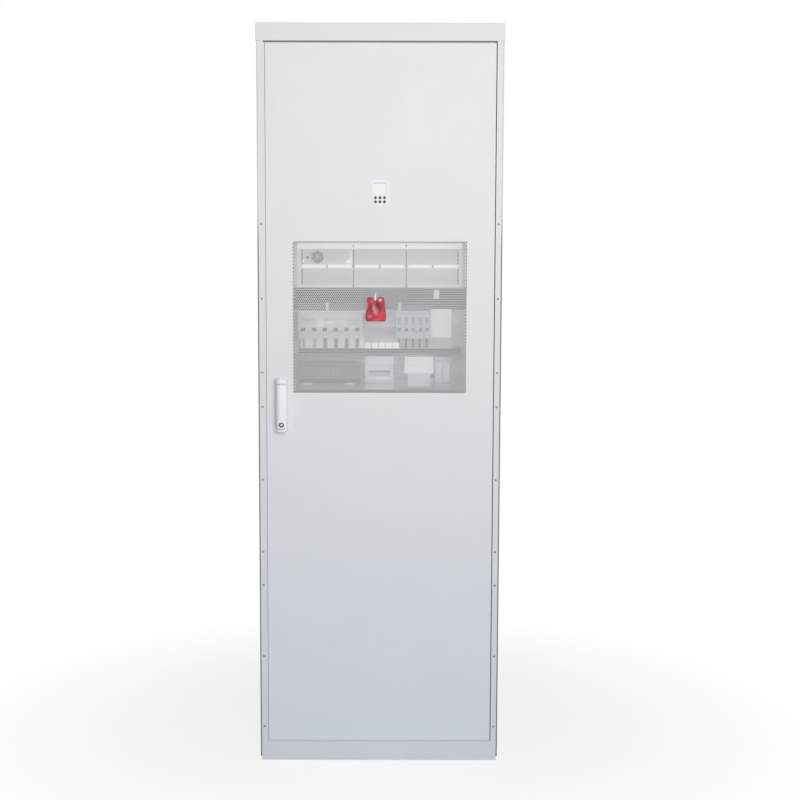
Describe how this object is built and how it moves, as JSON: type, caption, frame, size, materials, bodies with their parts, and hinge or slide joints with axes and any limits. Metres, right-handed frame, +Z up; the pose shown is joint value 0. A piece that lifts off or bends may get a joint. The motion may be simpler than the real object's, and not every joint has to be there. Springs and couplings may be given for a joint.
{
  "type": "telecom power cabinet",
  "caption": "Tall floor-standing sheet-metal cabinet with a hinged door, perforated window, display and rod lock; holds a rectifier shelf, breakers and battery trays.",
  "frame": {"origin": "on the floor at the middle of the four floor anchors", "axes": "+Z up, front door towards -Y, +X to the right seen from the front"},
  "size_m": [0.6, 0.6219, 1.83],
  "materials": {
    "cabinet_paint": "fine textured powder coat",
    "panel_paint": "fine textured powder coat",
    "shelf_paint": "satin paint",
    "module_paint": "satin paint",
    "zinc_steel": "zinc plated",
    "dark_screw": "dark plated",
    "light_plastic": "moulded",
    "blue_grey_plastic": "moulded",
    "dark_plastic": "moulded",
    "bush_plastic": "turned",
    "bezel_plastic": "moulded",
    "key_plastic": "moulded",
    "screen_glass": "clear window over a pale screen",
    "handle_coat": "smooth powder coat",
    "lock_metal": "dark plated",
    "lead_jacket": "smooth jacket",
    "seal_rubber": "foam",
    "bag_film": "thin red film"
  },
  "bodies": {
    "cabinet": {"base_frame": "cabinet_paint", "gland_plate": "zinc_steel", "front_left_post": "cabinet_paint", "front_right_post": "cabinet_paint", "rear_left_post": "cabinet_paint", "rear_right_post": "cabinet_paint", "top_frame": "cabinet_paint", "top_cover": "cabinet_paint", "left_side_panel": "panel_paint", "right_side_panel": "panel_paint", "rear_panel": "cabinet_paint", "panel_screws": "dark_screw", "left_rack_rail": "zinc_steel", "right_rack_rail": "zinc_steel", "rectifier_shelf": "shelf_paint", "rectifier_case": "module_paint", "fan_guard": "zinc_steel", "blank_panels": "module_paint", "distribution_panel": "cabinet_paint", "din_rails": "zinc_steel", "battery_breakers": "light_plastic", "load_breakers": "blue_grey_plastic", "breaker_leads": "lead_jacket", "wire_duct": "dark_plastic", "input_breaker": "light_plastic", "terminal_blocks": "dark_plastic", "contactor": "light_plastic", "surge_arrester": "light_plastic", "battery_trays": "zinc_steel", "hinge_bushes": "bush_plastic"},
    "door": {"door_skin": "cabinet_paint", "door_stiffeners": "cabinet_paint", "door_gasket": "seal_rubber", "hinge_pins": "zinc_steel", "display_housing": "bezel_plastic", "display_lens": "screen_glass", "handle_base": "handle_coat", "lock_gearbox": "zinc_steel", "accessory_bag": "bag_film"},
    "spindle": {"handle_spindle": "handle_coat"},
    "lever": {"handle_lever": "handle_coat"},
    "lock": {"lock_cylinder": "lock_metal"},
    "upper_rod": {"upper_rod": "zinc_steel"},
    "lower_rod": {"lower_rod": "zinc_steel"},
    "fan": {"fan_rotor": "dark_plastic"},
    "input_toggle": {"input_toggle": "dark_plastic"},
    "key_1": {"key_1": "key_plastic"},
    "key_2": {"key_2": "key_plastic"},
    "key_3": {"key_3": "key_plastic"},
    "key_4": {"key_4": "key_plastic"},
    "key_5": {"key_5": "key_plastic"},
    "key_6": {"key_6": "key_plastic"},
    "battery_toggle_1": {"battery_toggle_1": "dark_plastic"},
    "battery_toggle_2": {"battery_toggle_2": "dark_plastic"},
    "battery_toggle_3": {"battery_toggle_3": "dark_plastic"},
    "load_toggle_1": {"load_toggle_1": "dark_plastic"},
    "load_toggle_2": {"load_toggle_2": "dark_plastic"},
    "load_toggle_3": {"load_toggle_3": "dark_plastic"},
    "load_toggle_4": {"load_toggle_4": "dark_plastic"},
    "load_toggle_5": {"load_toggle_5": "dark_plastic"}
  },
  "joints": [
    {"name": "door_hinge", "type": "hinge", "parent": "cabinet", "child": "door", "pos_m": [0.2665, -0.2905, 0.9], "axis": [0, 0, 1], "range_deg": [0, 110]},
    {"name": "handle_turn", "type": "hinge", "parent": "door", "child": "spindle", "pos_m": [-0.241, -0.3, 0.957], "axis": [0, -1, 0], "range_deg": [0, 90]},
    {"name": "lever_lift", "type": "hinge", "parent": "spindle", "child": "lever", "pos_m": [-0.241, -0.3174, 0.962], "axis": [-1, 0, 0], "range_deg": [0, 40]},
    {"name": "lock_turn", "type": "hinge", "parent": "lever", "child": "lock", "pos_m": [-0.241, -0.315, 0.8585], "axis": [0, -1, 0], "range_deg": [0, 90]},
    {"name": "upper_rod_slide", "type": "slide", "parent": "door", "child": "upper_rod", "axis": [0, 0, -1], "range_m": [0, 0.0158]},
    {"name": "lower_rod_slide", "type": "slide", "parent": "door", "child": "lower_rod", "axis": [0, 0, 1], "range_m": [0, 0.0158]},
    {"name": "fan_spin", "type": "hinge", "parent": "cabinet", "child": "fan", "pos_m": [-0.1556, -0.207, 1.2669], "axis": [0, 1, 0], "continuous": true},
    {"name": "input_switch", "type": "hinge", "parent": "cabinet", "child": "input_toggle", "pos_m": [-0.001, -0.2045, 0.974], "axis": [1, 0, 0], "range_deg": [0, 70]},
    {"name": "press_key_1", "type": "slide", "parent": "door", "child": "key_1", "axis": [0, 1, 0], "range_m": [0, 0.0008], "stiffness_N_per_m": 400},
    {"name": "press_key_2", "type": "slide", "parent": "door", "child": "key_2", "axis": [0, 1, 0], "range_m": [0, 0.0008], "stiffness_N_per_m": 400},
    {"name": "press_key_3", "type": "slide", "parent": "door", "child": "key_3", "axis": [0, 1, 0], "range_m": [0, 0.0008], "stiffness_N_per_m": 400},
    {"name": "press_key_4", "type": "slide", "parent": "door", "child": "key_4", "axis": [0, 1, 0], "range_m": [0, 0.0008], "stiffness_N_per_m": 400},
    {"name": "press_key_5", "type": "slide", "parent": "door", "child": "key_5", "axis": [0, 1, 0], "range_m": [0, 0.0008], "stiffness_N_per_m": 400},
    {"name": "press_key_6", "type": "slide", "parent": "door", "child": "key_6", "axis": [0, 1, 0], "range_m": [0, 0.0008], "stiffness_N_per_m": 400},
    {"name": "battery_switch_1", "type": "hinge", "parent": "cabinet", "child": "battery_toggle_1", "pos_m": [-0.178, -0.2045, 1.104], "axis": [1, 0, 0], "range_deg": [0, 70]},
    {"name": "battery_switch_2", "type": "hinge", "parent": "cabinet", "child": "battery_toggle_2", "pos_m": [-0.124, -0.2045, 1.104], "axis": [1, 0, 0], "range_deg": [0, 70]},
    {"name": "battery_switch_3", "type": "hinge", "parent": "cabinet", "child": "battery_toggle_3", "pos_m": [-0.07, -0.2045, 1.104], "axis": [1, 0, 0], "range_deg": [0, 70]},
    {"name": "load_switch_1", "type": "hinge", "parent": "cabinet", "child": "load_toggle_1", "pos_m": [0.049, -0.2045, 1.104], "axis": [1, 0, 0], "range_deg": [0, 70]},
    {"name": "load_switch_2", "type": "hinge", "parent": "cabinet", "child": "load_toggle_2", "pos_m": [0.0665, -0.2045, 1.104], "axis": [1, 0, 0], "range_deg": [0, 70]},
    {"name": "load_switch_3", "type": "hinge", "parent": "cabinet", "child": "load_toggle_3", "pos_m": [0.084, -0.2045, 1.104], "axis": [1, 0, 0], "range_deg": [0, 70]},
    {"name": "load_switch_4", "type": "hinge", "parent": "cabinet", "child": "load_toggle_4", "pos_m": [0.1015, -0.2045, 1.104], "axis": [1, 0, 0], "range_deg": [0, 70]},
    {"name": "load_switch_5", "type": "hinge", "parent": "cabinet", "child": "load_toggle_5", "pos_m": [0.119, -0.2045, 1.104], "axis": [1, 0, 0], "range_deg": [0, 70]}
  ],
  "couplings": [
    {"joint": "upper_rod_slide", "follows": "handle_turn", "m_per_rad": 0.01},
    {"joint": "lower_rod_slide", "follows": "handle_turn", "m_per_rad": 0.01}
  ]
}
